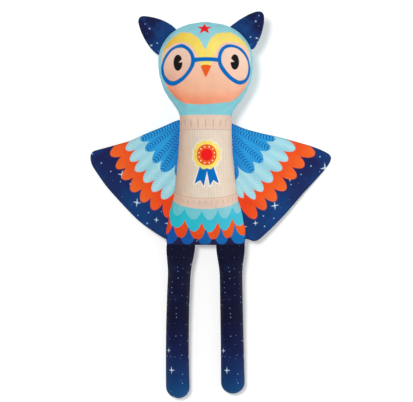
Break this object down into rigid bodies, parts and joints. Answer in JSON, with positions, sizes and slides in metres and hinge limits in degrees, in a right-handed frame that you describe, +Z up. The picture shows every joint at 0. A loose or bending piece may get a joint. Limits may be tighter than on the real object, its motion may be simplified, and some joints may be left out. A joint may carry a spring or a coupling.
{
  "type": "plush owl doll",
  "caption": "Long-legged stuffed owl doll of printed fabric, with flat padded wings, pointed ears and legs sewn on to swing.",
  "frame": {"origin": "on the floor, in the flat patch under the belly that the doll lies on", "axes": "+X towards the doll's left, +Y from its feet to its head, +Z up out of its face as it lies on its back"},
  "size_m": [0.2906, 0.4651, 0.0715],
  "materials": {
    "face_print": "printed short-pile velour, peach face inside a pale blue hood",
    "hood_print": "printed short-pile velour, pale blue",
    "sweater_print": "printed short-pile velour, oatmeal knit over rows of feathers",
    "feather_print": "printed short-pile velour, blue and orange feathers over night blue",
    "night_print": "printed short-pile velour, night sky with small stars",
    "fibre_filling": "loose white polyester fibre"
  },
  "bodies": {
    "torso": {"torso_front_panel": "sweater_print", "torso_back_panel": "sweater_print", "torso_filling": "fibre_filling"},
    "head": {"head_front_panel": "face_print", "head_back_panel": "hood_print", "head_filling": "fibre_filling"},
    "ear_left": {"ear_left_front_panel": "night_print", "ear_left_back_panel": "night_print", "ear_left_filling": "fibre_filling"},
    "ear_right": {"ear_right_front_panel": "night_print", "ear_right_back_panel": "night_print", "ear_right_filling": "fibre_filling"},
    "wing_left": {"wing_left_front_panel": "feather_print", "wing_left_back_panel": "feather_print", "wing_left_filling": "fibre_filling"},
    "wing_right": {"wing_right_front_panel": "feather_print", "wing_right_back_panel": "feather_print", "wing_right_filling": "fibre_filling"},
    "leg_left": {"leg_left_front_panel": "night_print", "leg_left_back_panel": "night_print", "leg_left_filling": "fibre_filling"},
    "leg_right": {"leg_right_front_panel": "night_print", "leg_right_back_panel": "night_print", "leg_right_filling": "fibre_filling"}
  },
  "joints": [
    {"name": "neck_nod", "type": "hinge", "parent": "torso", "child": "head", "pos_m": [0, 0.09834, 0.03186], "axis": [1, 0, 0], "range_deg": [-25, 25], "stiffness_Nm_per_rad": 0.15},
    {"name": "ear_left_bend", "type": "hinge", "parent": "head", "child": "ear_left", "pos_m": [0.04462, 0.1891, 0.03776], "axis": [0.6969, -0.7156, -0.0466], "range_deg": [-40, 40], "stiffness_Nm_per_rad": 0.02},
    {"name": "ear_right_bend", "type": "hinge", "parent": "head", "child": "ear_right", "pos_m": [-0.04942, 0.18318, 0.03738], "axis": [0.5576, 0.8284, 0.0539], "range_deg": [-40, 40], "stiffness_Nm_per_rad": 0.02},
    {"name": "wing_left_flap", "type": "hinge", "parent": "torso", "child": "wing_left", "pos_m": [0.03238, 0.08451, 0.03096], "axis": [0.1152, -0.9913, -0.0645], "range_deg": [-65, 90]},
    {"name": "wing_right_flap", "type": "hinge", "parent": "torso", "child": "wing_right", "pos_m": [-0.03232, 0.0885, 0.03122], "axis": [0.1124, 0.9916, 0.0645], "range_deg": [-65, 90]},
    {"name": "leg_left_swing", "type": "hinge", "parent": "torso", "child": "leg_left", "pos_m": [0.02975, -0.06277, 0.02137], "axis": [-1, 0, 0], "range_deg": [-85, 95]},
    {"name": "leg_right_swing", "type": "hinge", "parent": "torso", "child": "leg_right", "pos_m": [-0.02975, -0.06277, 0.02137], "axis": [-1, 0, 0], "range_deg": [-85, 95]}
  ]
}
